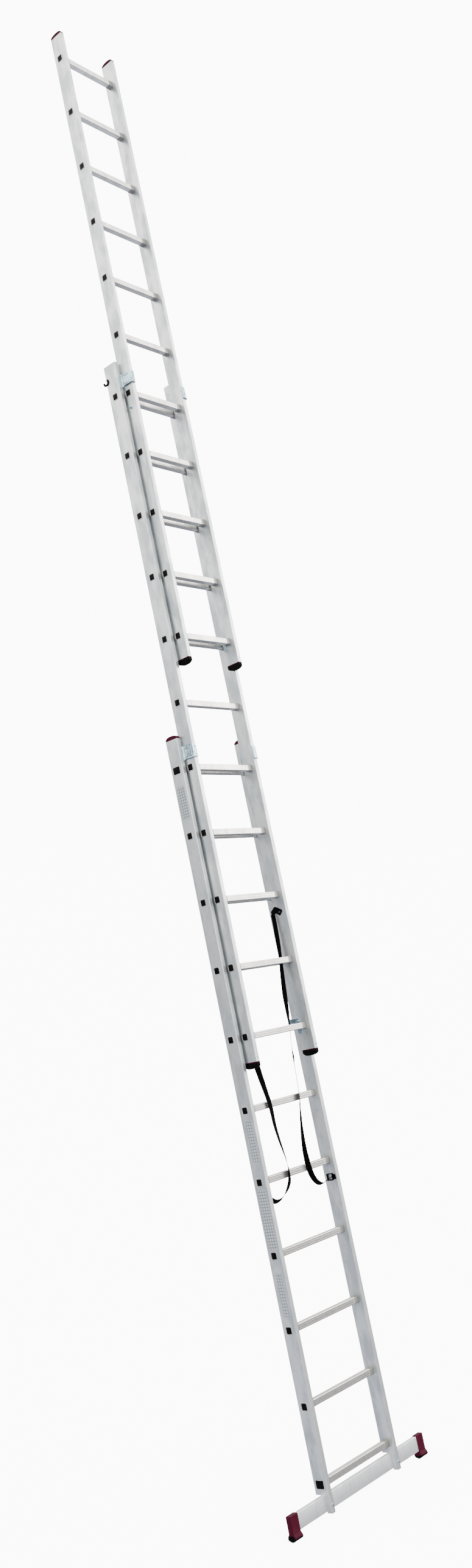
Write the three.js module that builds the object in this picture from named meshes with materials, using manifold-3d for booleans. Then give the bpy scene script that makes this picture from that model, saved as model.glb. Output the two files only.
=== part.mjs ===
// Three-section aluminium extension ladder with a stabiliser bar, drawn fully
// extended and leaning at its working angle. Millimetres, +Z up, X across the
// ladder, the climber stands on the -Y side. Each section is drawn upright,
// with Z along the stiles, inside one group that is turned about X to lean.

import * as THREE from 'three';
import { mergeVertices } from 'three/addons/utils/BufferGeometryUtils.js';
import Module from 'manifold-3d';

// ---------------------------------------------------------------- dimensions

const leanAngle = THREE.MathUtils.degToRad(15);
const fitGap = 0.3;

const rungPitch = 280;
const rungCount = 11;
const extendedPitches = 6;
const rungSize = 26;
const rungWall = 2;
const rungCentreDepth = 34.5;

const stileWidth = 20;
const stileWall = 2;

// front: depth of the front flange; raise: height of the section's first rung;
// below and above: stile ends measured from the first and the last rung
const sections = {
  lower: { halfWidth: 228, front: 0, depth: 65, raise: 0, below: 101, above: 131 },
  middle: {
    halfWidth: 199,
    front: -52,
    depth: 70,
    raise: extendedPitches * rungPitch,
    below: 101,
    above: 152,
  },
  top: {
    halfWidth: 170,
    front: -104,
    depth: 67,
    raise: 2 * extendedPitches * rungPitch,
    below: 101,
    above: 115,
  },
};

const barHeight = 58;
const barThickness = 18;
const barWall = 2;
const barHalfLength = 431;
const barFront = 24;
const barTop = -38;

const footOuter = 436;
const footLength = 45;
const footWall = 2;
const footEndWall = 4;
const footFlare = 8;
const flareTop = -98;
const flareBottom = -113;
const soleHeight = 11.5;
const soleEdge = 2.2;
const soleFlatHalf = 5;

const guideSheet = 2.5;
const guideGap = 2;
const guideBottom = 36;
const guideHeight = 58;
const guideBaseEnd = 44;

const hookSheet = 3;
const hookBelow = 33;
const hookAbove = 34;
const hookStart = 48.5;
const hookTipEnd = 107;
const hookTipWidth = 6.8;
const hookTipDrop = 2;

const plugSpigot = 25;
const padHeight = 27;
const padEdge = 9;
const padOversize = 0.75;
const capHeight = 17;
const capRound = 8;

const strapTube = 5;
const strapSides = 8;
const strapSteps = 64;

// ----------------------------------------------------------------- materials

const aluminium = new THREE.MeshStandardMaterial({
  color: 0xc9cbca,
  roughness: 0.34,
  metalness: 0.9,
});
const rungAluminium = new THREE.MeshStandardMaterial({
  color: 0xd8d6d2,
  roughness: 0.28,
  metalness: 0.9,
});
const zincPlate = new THREE.MeshStandardMaterial({
  color: 0xb9cad0,
  roughness: 0.3,
  metalness: 0.95,
});
const burgundyPlastic = new THREE.MeshStandardMaterial({
  color: 0x4e1a2a,
  roughness: 0.5,
  metalness: 0,
});
const blackRubber = new THREE.MeshStandardMaterial({
  color: 0x121212,
  roughness: 0.75,
  metalness: 0,
});
const blackWebbing = new THREE.MeshStandardMaterial({
  color: 0x0d0d0e,
  roughness: 0.85,
  metalness: 0,
});

// ------------------------------------------------------------- solid helpers

const wasm = await Module();
wasm.setup();

function toSolid(geometry) {
  const bare = geometry.clone();
  bare.deleteAttribute('normal');
  bare.deleteAttribute('uv');
  const merged = mergeVertices(bare, 1e-4);
  const vertProperties = new Float32Array(merged.attributes.position.array);
  const triVerts = new Uint32Array(merged.index.array);
  const mesh = new wasm.Mesh({ numProp: 3, vertProperties, triVerts });
  return new wasm.Manifold(mesh);
}

function toGeometry(solid) {
  const mesh = solid.getMesh();
  const geometry = new THREE.BufferGeometry();
  const positions = new Float32Array(mesh.vertProperties);
  geometry.setAttribute('position', new THREE.BufferAttribute(positions, 3));
  geometry.setIndex(new THREE.BufferAttribute(new Uint32Array(mesh.triVerts), 1));
  return geometry;
}

// a box given by its lowest and highest corners
function box(low, high) {
  const size = new THREE.Vector3().subVectors(high, low);
  const centre = new THREE.Vector3().addVectors(low, high).multiplyScalar(0.5);
  const geometry = new THREE.BoxGeometry(size.x, size.y, size.z);
  return geometry.translate(centre.x, centre.y, centre.z);
}

function boxSpan(x0, x1, y0, y1, z0, z1) {
  return toSolid(box(new THREE.Vector3(x0, y0, z0), new THREE.Vector3(x1, y1, z1)));
}

// a profile drawn in X and Y, run along Z from z0 to z1
function alongZ(shape, z0, z1) {
  const geometry = new THREE.ExtrudeGeometry(shape, {
    depth: z1 - z0,
    bevelEnabled: false,
    curveSegments: 6,
  });
  return geometry.translate(0, 0, z0);
}

// a profile drawn in Y (first) and Z (second), run along X from x0 to x1
function alongX(shape, x0, x1) {
  const geometry = new THREE.ExtrudeGeometry(shape, {
    depth: x1 - x0,
    bevelEnabled: false,
    curveSegments: 6,
  });
  const turn = new THREE.Matrix4().makeBasis(
    new THREE.Vector3(0, 1, 0),
    new THREE.Vector3(0, 0, 1),
    new THREE.Vector3(1, 0, 0),
  );
  return geometry.applyMatrix4(turn).translate(x0, 0, 0);
}

function polygon(points) {
  return new THREE.Shape(points.map(([u, v]) => new THREE.Vector2(u, v)));
}

function rectangle(u0, u1, v0, v1) {
  return [[u0, v0], [u1, v0], [u1, v1], [u0, v1]];
}

function tubeShape(u0, u1, v0, v1, wall) {
  const shape = polygon(rectangle(u0, u1, v0, v1));
  const inner = rectangle(u0 + wall, u1 - wall, v0 + wall, v1 - wall);
  shape.holes.push(polygon(inner));
  return shape;
}

// the same solid for the other side of the ladder
function mirrored(solid) {
  return solid.mirror([1, 0, 0]);
}

// ------------------------------------------------------------- the sub-parts

const ladder = new THREE.Group();

function addPart(name, geometry, material, parent) {
  const mesh = new THREE.Mesh(geometry, material);
  mesh.name = name;
  parent.add(mesh);
  return mesh;
}

// both sides of a piece that is drawn for the +X side
function addPair(name, solid, material, parent) {
  addPart(`${name}_right`, toGeometry(solid), material, parent);
  addPart(`${name}_left`, toGeometry(mirrored(solid)), material, parent);
}

const rungHeightAt = (number) => (number - 1) * rungPitch;
const lastRung = rungHeightAt(rungCount);

// stile: a rectangular tube with a square hole through both webs at each rung
function stile(section) {
  const outer = section.halfWidth;
  const inner = outer - stileWidth;
  const base = -section.below;
  const end = lastRung + section.above;
  const profile = tubeShape(inner, outer, 0, section.depth, stileWall);
  let solid = toSolid(alongZ(profile, base, end));
  const reach = rungSize / 2 + fitGap;
  for (let number = 1; number <= rungCount; number += 1) {
    const z = rungHeightAt(number);
    const y = rungCentreDepth;
    const hole = boxSpan(inner - 1, outer + 1, y - reach, y + reach, z - reach, z + reach);
    solid = solid.subtract(hole);
  }
  return solid;
}

// the lower stiles are cut away behind their front flange to seat the bar
function notchedStile(section) {
  const outer = section.halfWidth + 1;
  const inner = section.halfWidth - stileWidth - 1;
  const notch = boxSpan(
    inner,
    outer,
    barFront - fitGap,
    section.depth + 1,
    -section.below - 1,
    barTop + fitGap,
  );
  return stile(section).subtract(notch);
}

// rung: a square tube, open at both ends, flush with the outer webs
function rung(section, number) {
  const y = rungCentreDepth;
  const z = rungHeightAt(number);
  const half = rungSize / 2;
  const profile = tubeShape(y - half, y + half, z - half, z + half, rungWall);
  return alongX(profile, -section.halfWidth, section.halfWidth);
}

// guide bracket: bent sheet riveted to the inner web of a stile, reaching
// forward beside the next section's stile and round its front flange
function guideBracket(section, nextSection) {
  const step = nextSection.front - section.front;
  const baseOuter = section.halfWidth - stileWidth - fitGap;
  const baseInner = baseOuter - guideSheet;
  const armInner = nextSection.halfWidth + guideGap;
  const armOuter = armInner + guideSheet;
  const lipBack = step - 1;
  const lipFront = lipBack - guideSheet;
  const lipEnd = nextSection.halfWidth - stileWidth - 1;
  const bend = 3;
  const outline = [
    [baseOuter, guideBaseEnd],
    [baseInner, guideBaseEnd],
    [baseInner, bend + 1],
    [armInner, -bend],
    [armInner, lipBack],
    [lipEnd, lipBack],
    [lipEnd, lipFront],
    [armOuter - 1, lipFront],
    [armOuter, lipFront + 1],
    [armOuter, -bend - 1],
    [baseOuter, bend],
  ];
  const bottom = lastRung + guideBottom;
  return toSolid(alongZ(polygon(outline), bottom, bottom + guideHeight));
}

// hook catch: plate screwed to the inner web above and below the first rung,
// whose arm rests over a rung of the section behind
function hookCatch(section) {
  const outer = section.halfWidth - stileWidth - fitGap;
  const inner = outer - hookSheet;
  const plateEnd = section.depth - 0.5;
  const rest = rungSize / 2 + fitGap;
  const tipStart = hookTipEnd - hookTipWidth;
  const bevel = 6;
  const outline = [
    [hookStart, -hookBelow],
    [plateEnd - bevel, -hookBelow],
    [plateEnd, -hookBelow + bevel],
    [plateEnd, rest],
    [tipStart, rest],
    [tipStart, -hookTipDrop],
    [hookTipEnd, -hookTipDrop],
    [hookTipEnd, hookAbove - bevel],
    [hookTipEnd - bevel, hookAbove],
    [hookStart, hookAbove],
  ];
  return toSolid(alongX(polygon(outline), inner, outer));
}

// spigot: the part of an end piece that is pushed into the stile tube
function spigot(section, z0, z1) {
  const inset = stileWall + fitGap;
  const outer = section.halfWidth - inset;
  const inner = section.halfWidth - stileWidth + inset;
  return boxSpan(inner, outer, inset, section.depth - inset, z0, z1);
}

// end foot: a rubber pad with a rounded sole below the stile
function endFoot(section) {
  const top = -section.below - fitGap;
  const low = -section.below - padHeight;
  const y0 = -padOversize;
  const y1 = section.depth + padOversize;
  const shape = new THREE.Shape();
  shape.moveTo(y0, top);
  shape.lineTo(y0, top - padEdge);
  shape.quadraticCurveTo(y0 + 4, low, section.depth / 2, low);
  shape.quadraticCurveTo(y1 - 4, low, y1, top - padEdge);
  shape.lineTo(y1, top);
  shape.closePath();
  const x0 = section.halfWidth - stileWidth - padOversize;
  const x1 = section.halfWidth + padOversize;
  const pad = toSolid(alongX(shape, x0, x1));
  return pad.add(spigot(section, top - 1, top + plugSpigot));
}

// end cap: a plastic plug with a rounded head above the stile
function endCap(section) {
  const bottom = lastRung + section.above + fitGap;
  const top = bottom + capHeight;
  const shape = new THREE.Shape();
  shape.moveTo(0, bottom);
  shape.lineTo(section.depth, bottom);
  shape.lineTo(section.depth, top - capRound);
  shape.quadraticCurveTo(section.depth, top, section.depth - capRound, top);
  shape.lineTo(capRound, top);
  shape.quadraticCurveTo(0, top, 0, top - capRound);
  shape.closePath();
  const x0 = section.halfWidth - stileWidth;
  const head = toSolid(alongX(shape, x0, section.halfWidth));
  return head.add(spigot(section, bottom - plugSpigot, bottom + 1));
}

// stabiliser bar: a flat rectangular tube across the bottom of the ladder
function stabiliserBar() {
  const profile = tubeShape(
    barFront,
    barFront + barThickness,
    barTop - barHeight,
    barTop,
    barWall,
  );
  return alongX(profile, -barHalfLength, barHalfLength);
}

const footMiddle = barFront + barThickness / 2;
const footHalfDepth = barThickness / 2 + fitGap + footWall;
const soleHalfDepth = footHalfDepth + footFlare;

// bar foot: a plastic sleeve closed at its outer end, flared to carry the sole
function barFoot() {
  const sleeveTop = barTop + fitGap + footWall;
  const outline = [
    [footMiddle - footHalfDepth, sleeveTop],
    [footMiddle - footHalfDepth, flareTop],
    [footMiddle - soleHalfDepth, flareBottom],
    [footMiddle + soleHalfDepth, flareBottom],
    [footMiddle + footHalfDepth, flareTop],
    [footMiddle + footHalfDepth, sleeveTop],
  ];
  const body = toSolid(alongX(polygon(outline), footOuter - footLength, footOuter));
  const socket = boxSpan(
    footOuter - footLength - 1,
    footOuter - footEndWall,
    barFront - fitGap,
    barFront + barThickness + fitGap,
    barTop - barHeight - fitGap,
    barTop + fitGap,
  );
  return body.subtract(socket);
}

// sole: a rubber pad whose underside is an arc with one flat, which lies level
// on the ground when the ladder leans at its working angle
function barSole() {
  const top = flareBottom - fitGap;
  const edge = top - soleEdge;
  const sag = soleHeight - soleEdge;
  const radius = (soleHalfDepth ** 2 + sag ** 2) / (2 * sag);
  const centre = edge - sag + radius;
  const flat = Math.asin(soleFlatHalf / radius);
  const reach = Math.asin(soleHalfDepth / radius);
  const outline = [
    [footMiddle - soleHalfDepth, top],
    [footMiddle - soleHalfDepth, edge],
  ];
  const frontSteps = 5;
  for (let i = 1; i < frontSteps; i += 1) {
    const angle = -reach + ((leanAngle - flat + reach) * i) / frontSteps;
    outline.push([footMiddle + radius * Math.sin(angle), centre - radius * Math.cos(angle)]);
  }
  for (const angle of [leanAngle - flat, leanAngle + flat]) {
    outline.push([footMiddle + radius * Math.sin(angle), centre - radius * Math.cos(angle)]);
  }
  const middleOfRear = (leanAngle + flat + reach) / 2;
  outline.push([
    footMiddle + radius * Math.sin(middleOfRear),
    centre - radius * Math.cos(middleOfRear),
  ]);
  outline.push([footMiddle + soleHalfDepth, edge], [footMiddle + soleHalfDepth, top]);
  return toSolid(alongX(polygon(outline), footOuter - footLength, footOuter));
}

// restraint straps: from the lower section's inner web up to the middle
// section's, hanging in front of the lower rungs; X, depth and height by hand
const rightStrapRoute = [
  [206.4, 30, 1051], [190, 30.5, 1048], [166, 31, 1041], [142, 29, 1038],
  [118, 25, 1044], [92, 19, 1060], [70, 13, 1084], [58, 10, 1114],
  [53, 9, 1148], [53, 10, 1190], [60, 12, 1240], [70, 13, 1295],
  [82, 13, 1350], [93, 12, 1405], [101, 14, 1465], [107, 15, 1540],
  [114, 14, 1615], [121, 12, 1682], [129, 13, 1750], [137, 15, 1820],
  [145, 14, 1890], [153, 12, 1960], [158, 11, 2020], [162, 11, 2080],
  [164, 11, 2125], [165, 12, 2158],
];
const leftStrapRoute = [
  [-206.4, 30, 1051], [-190, 30.5, 1047], [-166, 31, 1033], [-140, 29, 1031],
  [-114, 24, 1042], [-92, 18, 1063], [-76, 13, 1090], [-68, 11, 1130],
  [-70, 10, 1170], [-78, 11, 1215], [-87, 12, 1262], [-94, 13, 1318],
  [-98, 12, 1395], [-108, 14, 1460], [-120, 15, 1520], [-130, 15, 1575],
  [-138, 14, 1625], [-144, 12, 1682], [-150, 13, 1750], [-156, 15, 1820],
  [-161, 14, 1890], [-165, 12, 1960], [-167, 11, 2020], [-167, 11, 2080],
  [-166, 11, 2125], [-165, 12, 2158],
];

function strap(route) {
  const points = route.map(([x, y, z]) => new THREE.Vector3(x, y, z));
  const path = new THREE.CatmullRomCurve3(points, false, 'centripetal');
  const section = [];
  for (let i = 0; i < strapSides; i += 1) {
    const angle = (2 * Math.PI * i) / strapSides;
    section.push([strapTube * Math.cos(angle), strapTube * Math.sin(angle)]);
  }
  return new THREE.ExtrudeGeometry(polygon(section), {
    steps: strapSteps,
    extrudePath: path,
    bevelEnabled: false,
  });
}

// ------------------------------------------------------------------ assembly

const { lower, middle, top } = sections;

function sectionGroup(section) {
  const group = new THREE.Group();
  group.position.set(0, section.front, section.raise);
  ladder.add(group);
  return group;
}

const groups = {
  lower: sectionGroup(lower),
  middle: sectionGroup(middle),
  top: sectionGroup(top),
};

for (const [name, section] of Object.entries(sections)) {
  const tube = section === lower ? notchedStile(section) : stile(section);
  addPair(`${name}_stile`, tube, aluminium, groups[name]);
  for (let number = 1; number <= rungCount; number += 1) {
    const label = String(number).padStart(2, '0');
    addPart(`${name}_rung_${label}`, rung(section, number), rungAluminium, groups[name]);
  }
}

addPart('stabiliser_bar', stabiliserBar(), aluminium, groups.lower);
addPair('stabiliser_foot', barFoot(), burgundyPlastic, groups.lower);
addPair('stabiliser_sole', barSole(), blackRubber, groups.lower);

addPair('lower_guide', guideBracket(lower, middle), zincPlate, groups.lower);
addPair('middle_guide', guideBracket(middle, top), zincPlate, groups.middle);
addPair('middle_hook', hookCatch(middle), zincPlate, groups.middle);
addPair('top_hook', hookCatch(top), zincPlate, groups.top);
addPair('middle_foot', endFoot(middle), blackRubber, groups.middle);
addPair('top_foot', endFoot(top), blackRubber, groups.top);
addPair('top_cap', endCap(top), burgundyPlastic, groups.top);

addPart('strap_right', strap(rightStrapRoute), blackWebbing, groups.lower);
addPart('strap_left', strap(leftStrapRoute), blackWebbing, groups.lower);

// ------------------------------------------- lean, and stand on the soles

const group = new THREE.Group();
ladder.rotation.x = -leanAngle;
group.add(ladder);
group.updateMatrixWorld(true);
const extent = new THREE.Box3().setFromObject(group, true);
const centreY = (extent.min.y + extent.max.y) / 2;
ladder.position.set(0, -centreY, -extent.min.z);
group.updateMatrixWorld(true);

export default group;
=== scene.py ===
# %% [markdown]
# A three-section extension ladder, drawn fully extended and leaning at its
# working angle. Extruded aluminium stiles and rungs make most of it, with
# zinc-plated sheet fittings, moulded plastic caps and woven restraint straps.
# The frame holds the exact solids; this file gives every one its real surface.

# %% Load the frame
import math

import bmesh
import bpy
import numpy as np
from mathutils import Matrix, Vector


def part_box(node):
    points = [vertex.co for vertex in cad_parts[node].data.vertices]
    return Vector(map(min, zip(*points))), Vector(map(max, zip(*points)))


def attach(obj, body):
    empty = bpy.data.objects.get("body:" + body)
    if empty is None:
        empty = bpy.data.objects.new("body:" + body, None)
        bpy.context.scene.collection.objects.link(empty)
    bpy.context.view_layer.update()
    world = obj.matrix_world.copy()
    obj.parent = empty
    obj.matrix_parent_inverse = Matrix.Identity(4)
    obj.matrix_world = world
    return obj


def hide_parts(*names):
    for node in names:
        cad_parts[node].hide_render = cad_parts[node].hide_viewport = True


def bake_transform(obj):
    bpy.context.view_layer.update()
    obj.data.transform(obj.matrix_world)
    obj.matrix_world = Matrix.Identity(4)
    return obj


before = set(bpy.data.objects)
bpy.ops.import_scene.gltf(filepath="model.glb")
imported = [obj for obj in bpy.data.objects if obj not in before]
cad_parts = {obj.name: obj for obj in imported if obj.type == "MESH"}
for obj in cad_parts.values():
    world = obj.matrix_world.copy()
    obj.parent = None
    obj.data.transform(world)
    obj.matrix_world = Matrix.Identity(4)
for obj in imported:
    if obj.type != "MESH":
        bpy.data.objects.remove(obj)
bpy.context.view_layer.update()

# %% [markdown]
# Every piece of a leaning ladder is easiest to draw upright. So shapes are
# worked out in ladder coordinates, in millimetres: x across the ladder, y the
# depth behind the lower section's front flange, and s along the stiles from
# the lowest rung. One function then leans them and puts them in the frame.

# %% Ladder coordinates
LEAN = math.radians(15)
RUNG_DEPTH = 34.5
COS, SIN = math.cos(LEAN), math.sin(LEAN)


def leaned(points):
    """Turns ladder millimetres into frame metres.

    Y = y cos(lean) + s sin(lean) and Z = s cos(lean) - y sin(lean), moved so
    that the lowest rung's middle falls on its solid's middle.
    """
    points = np.asarray(points, float) / 1000
    x, y, s = points[..., 0], points[..., 1], points[..., 2]
    turned = np.stack([x, y * COS + s * SIN, s * COS - y * SIN], -1)
    return turned + ORIGIN


low, high = (np.array(corner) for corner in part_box("lower_rung_01"))
rung_middle = (low + high) / 2
depth = RUNG_DEPTH / 1000
ORIGIN = rung_middle - np.array([0, depth * COS, -depth * SIN])
print("ladder origin in the frame:", ORIGIN.round(4))

# %% [markdown]
# The three sections share one pattern and differ only in width, depth and
# height. Each slides in front of the one below it, so the front of each is
# further from the wall, and every rung of one lines up with a rung behind.

# %% The sections
PITCH = 280
RUNGS = 11
STILE = 20
SECTIONS = {
    "lower": dict(half=228, front=0, depth=65, base=0, below=-101, above=131),
    "middle": dict(half=199, front=-52, depth=70, base=1680, below=-101, above=152),
    "top": dict(half=170, front=-104, depth=67, base=3360, below=-101, above=115),
}
SIDES = {"right": 1, "left": -1}
LAST_RUNG = (RUNGS - 1) * PITCH

# %% [markdown]
# A mesh from numpy arrays: a grid of points becomes quads between neighbours,
# and it may close on itself both ways, like a doughnut. Ends that stay open
# get a cap. Blender then turns all faces outwards and shades the round parts
# smooth while edges sharper than an angle stay crisp.

# %% Grids and meshes


def quads(rows, columns, close_rows=False, close_columns=True):
    """Faces between neighbouring points of a rows by columns grid."""
    r = np.arange(rows if close_rows else rows - 1)
    c = np.arange(columns if close_columns else columns - 1)
    r, c = np.meshgrid(r, c, indexing="ij")
    next_r, next_c = (r + 1) % rows, (c + 1) % columns
    corners = [r * columns + c, r * columns + next_c, next_r * columns + next_c, next_r * columns + c]
    return np.stack([corner.ravel() for corner in corners], -1)


def solid(grid, ends="capped"):
    """A closed body from a grid whose rows are closed loops.

    ends is capped, for one flat or domed face over the first and last loop, or
    ring, where the last loop meets the first one again.
    """
    rows, columns = grid.shape[:2]
    faces = quads(rows, columns, close_rows=ends == "ring").tolist()
    if ends == "capped":
        faces.append(list(range(columns))[::-1])
        faces.append(list(range((rows - 1) * columns, rows * columns)))
    return grid.reshape(-1, 3), faces


def points_at(x, y, s):
    """One array of points from three coordinates, each a number or an array."""
    return np.stack(np.broadcast_arrays(x, y, s), -1)


def joined(bodies):
    """Several (points, faces) bodies as one."""
    points, faces, count = [], [], 0
    for body_points, body_faces in bodies:
        points.append(body_points)
        faces += [[i + count for i in face] for face in body_faces]
        count += len(body_points)
    return np.concatenate(points), faces


def mirrored(body, sign):
    """The same body on the other side of the ladder when sign is -1."""
    points, faces = body
    return points * np.array([sign, 1, 1]), faces


def make(name, body, material, rides, slot, angle=32, replaces=(), **attributes):
    """A mesh object from a body in ladder millimetres, riding on a section."""
    points, faces = body
    mesh = bpy.data.meshes.new(name)
    mesh.from_pydata(leaned(points).tolist(), [], faces)
    for key, values in attributes.items():
        layer = mesh.attributes.new(key, "FLOAT", "POINT")
        layer.data.foreach_set("value", np.asarray(values, float).ravel())
    bm = bmesh.new()
    bm.from_mesh(mesh)
    bmesh.ops.recalc_face_normals(bm, faces=bm.faces)
    bm.to_mesh(mesh)
    bm.free()
    mesh.polygons.foreach_set("use_smooth", np.ones(len(mesh.polygons), bool))
    mesh.set_sharp_from_angle(angle=math.radians(angle))
    mesh.materials.append(material)
    piece = bpy.data.objects.new(name, mesh)
    bpy.context.scene.collection.objects.link(piece)
    if rides:
        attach(piece, rides)
    if replaces:
        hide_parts(*replaces)
    return piece


def softened(piece, width, segments=2):
    """Rounds a piece's sharp edges by a width in millimetres."""
    bevel = piece.modifiers.new("rounded_edges", "BEVEL")
    bevel.width = width / 1000
    bevel.segments = segments
    bevel.limit_method = "ANGLE"
    bevel.angle_limit = math.radians(30)
    bevel.harden_normals = True
    return piece


# %% [markdown]
# Extrusions, caps and plugs all start from one outline: a rectangle whose
# corners are arcs. Sampling its straight sides as well leaves points that
# grooves and ribs can move.

# %% Outlines


def rounded_rectangle(width, height, radius, corner=4, side=1):
    """A closed loop: four straight sides joined by quarter circles of a radius."""
    half_w, half_h = width / 2 - radius, height / 2 - radius
    centres = [(half_w, half_h), (-half_w, half_h), (-half_w, -half_h), (half_w, -half_h)]
    loop = []
    for k, (cx, cy) in enumerate(centres):
        turn = np.linspace(k, k + 1, corner + 1) * math.pi / 2
        arc = np.stack([cx + radius * np.cos(turn), cy + radius * np.sin(turn)], -1)
        loop.append(arc)
        following = centres[(k + 1) % 4]
        end = math.pi / 2 * (k + 1)
        step = np.array([radius * math.cos(end), radius * math.sin(end)])
        along = np.linspace(0, 1, side + 1)[1:-1, None]
        loop.append(arc[-1] + along * (np.array(following) + step - arc[-1]))
    return np.concatenate(loop)


def prism(outline, start, end, across="s"):
    """An outline of two coordinates carried straight from start to end.

    across s: the outline holds x and y. across x: it holds y and s.
    """
    u, v = np.asarray(outline, float).T
    rows = [(u, v, place) if across == "s" else (place, u, v) for place in (start, end)]
    return solid(np.stack([points_at(*row) for row in rows]))


# %% [markdown]
# Colours are written as the sRGB values that a paint chart would give, and one
# function turns them to the linear values that shading works in. One more
# function adds a node with its settings and its links.

# %% Colours and nodes


def linear(hex_colour):
    """sRGB to linear: c / 12.92 when c is small, else ((c + 0.055) / 1.055) ** 2.4."""
    values = np.array([int(hex_colour[i:i + 2], 16) for i in (1, 3, 5)]) / 255
    curve = np.where(values <= 0.04045, values / 12.92, ((values + 0.055) / 1.055) ** 2.4)
    return (*curve.tolist(), 1.0)


def add(tree, kind, sockets=(), **settings):
    """Adds a node, sets its properties, and links or sets each named socket."""
    node = tree.nodes.new("ShaderNode" + kind)
    for key, value in settings.items():
        setattr(node, key, value)
    for key, value in dict(sockets).items():
        if isinstance(value, bpy.types.NodeSocket):
            tree.links.new(value, node.inputs[key])
        else:
            node.inputs[key].default_value = value
    return node


def new_material(name, **sockets):
    """A material with its Principled shader, some of whose sockets are set."""
    material = bpy.data.materials.new(name)
    material.use_nodes = True
    shader = material.node_tree.nodes["Principled BSDF"]
    for key, value in sockets.items():
        shader.inputs[key.replace("_", " ")].default_value = value
    return material, material.node_tree, shader


def ladder_coordinates(tree, stretch):
    """Object coordinates turned upright with the ladder, then scaled per axis."""
    place = add(tree, "TexCoord")
    upright = add(tree, "Mapping", {"Vector": place.outputs["Object"], "Rotation": (LEAN, 0, 0)})
    scaled = add(tree, "VectorMath", {0: upright.outputs[0], 1: stretch}, operation="MULTIPLY")
    return scaled.outputs[0]


def span(tree, value, low, high, to_low, to_high):
    """Carries a value's range low to high over to another range, clamped."""
    limits = {"From Min": low, "From Max": high, "To Min": to_low, "To Max": to_high}
    return add(tree, "MapRange", {"Value": value, **limits}).outputs["Result"]


def blend_colours(tree, factor, first, second, mode="MIX"):
    """Mixes two colours, or two colour sockets, by a factor."""
    sockets = {0: factor, 6: first, 7: second}
    return add(tree, "Mix", sockets, data_type="RGBA", blend_type=mode).outputs[2]


# %% [markdown]
# Mill-finish aluminium comes straight from the extrusion die: fine lines run
# along the length, and handling leaves cloudy patches and small grey scuffs.
# The lines are a noise squeezed across the profile. Real die lines are about
# 0.3 mm apart and would vanish at this size, so they are drawn at 2 mm.

# %% Extruded aluminium
# patches and scuffs per metre: across, in depth and along the ladder
CLOUDS_PER_METRE, SCUFFS_PER_METRE = (24, 24, 9), (70, 70, 34)
SCUFF_SHARE = 0.3


def extruded_aluminium(name, dark, light, roughness, lines, line_depth):
    """Aluminium with die lines; lines gives the line noise's scale per axis."""
    material, tree, shader = new_material(name, Metallic=0.82)
    cloud_place = ladder_coordinates(tree, CLOUDS_PER_METRE)
    clouds = add(tree, "TexNoise", {"Vector": cloud_place, "Scale": 1.0, "Detail": 5.0})
    scuff_place = ladder_coordinates(tree, SCUFFS_PER_METRE)
    scuffs = add(tree, "TexNoise", {"Vector": scuff_place, "Scale": 1.0, "Detail": 3.0})
    line_place = ladder_coordinates(tree, lines)
    die = add(tree, "TexNoise", {"Vector": line_place, "Scale": 1.0, "Detail": 2.0})
    tone = span(tree, clouds.outputs[0], 0.4, 0.6, 0.0, 1.0)
    colour = blend_colours(tree, tone, linear(dark), linear(light))
    marks = span(tree, scuffs.outputs[0], 0.6, 0.74, 0.0, SCUFF_SHARE)
    colour = blend_colours(tree, marks, colour, linear("#7f858a"))
    # painted shade: the web is mixed towards a darker grey where a sliding stile runs beside the one
    # behind, standing in for the shade in the gap between them
    rub = add(tree, "Attribute", attribute_name="rub").outputs["Fac"]
    colour = blend_colours(tree, rub, colour, linear("#858a8e"))
    streaks = span(tree, die.outputs[0], 0.3, 0.7, 0.93, 1.0)
    grey = add(tree, "CombineColor", {0: streaks, 1: streaks, 2: streaks})
    colour = blend_colours(tree, 1.0, colour, grey.outputs[0], mode="MULTIPLY")
    tree.links.new(colour, shader.inputs["Base Color"])
    rough = span(tree, clouds.outputs[0], 0.3, 0.7, roughness + 0.07, roughness - 0.05)
    tree.links.new(rough, shader.inputs["Roughness"])
    height = {"Height": die.outputs[0], "Strength": 0.5, "Distance": line_depth}
    bump = add(tree, "Bump", height)
    tree.links.new(bump.outputs[0], shader.inputs["Normal"])
    return material


# die lines per metre on each axis, and their depth in metres
ALONG_STILE, ALONG_RUNG = (480, 480, 1.6), (2.2, 520, 520)
STILE_LINE, RUNG_LINE = 0.00006, 0.00005
stile_metal = extruded_aluminium(
    "mill_aluminium_stile", "#bec4c7", "#dfe2e2", 0.38, ALONG_STILE, STILE_LINE)
bar_metal = extruded_aluminium(
    "mill_aluminium_bar", "#dadde1", "#eff1f3", 0.46, ALONG_RUNG, STILE_LINE)

# %% [markdown]
# The rungs are the same alloy, rubbed brighter by shoes. Near each stile the
# tube is swaged out to grip the web, and the press leaves a dull collar with a
# hatched print. The attribute swage is 1 on that collar and 0 elsewhere.

# %% Rung aluminium
rung_metal = extruded_aluminium(
    "mill_aluminium_rung", "#d3d1cd", "#e9e7e2", 0.26, ALONG_RUNG, RUNG_LINE)
tree = rung_metal.node_tree
shader = tree.nodes["Principled BSDF"]
swage = add(tree, "Attribute", attribute_name="swage").outputs["Fac"]
smooth_colour = shader.inputs["Base Color"].links[0].from_socket
smooth_rough = shader.inputs["Roughness"].links[0].from_socket
HATCH_STRETCH, SWAGE_ROUGHNESS = 520, 0.5
hatch_place = ladder_coordinates(tree, (HATCH_STRETCH,) * 3)
hatch_settings = {"Vector": hatch_place, "Scale": 0.3, "Distortion": 1.5}
hatch = add(tree, "TexWave", hatch_settings, bands_direction="DIAGONAL")
print_tone = blend_colours(tree, hatch.outputs["Fac"], linear("#686866"), linear("#a3a29d"))
colour = blend_colours(tree, swage, smooth_colour, print_tone)
tree.links.new(colour, shader.inputs["Base Color"])
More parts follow.
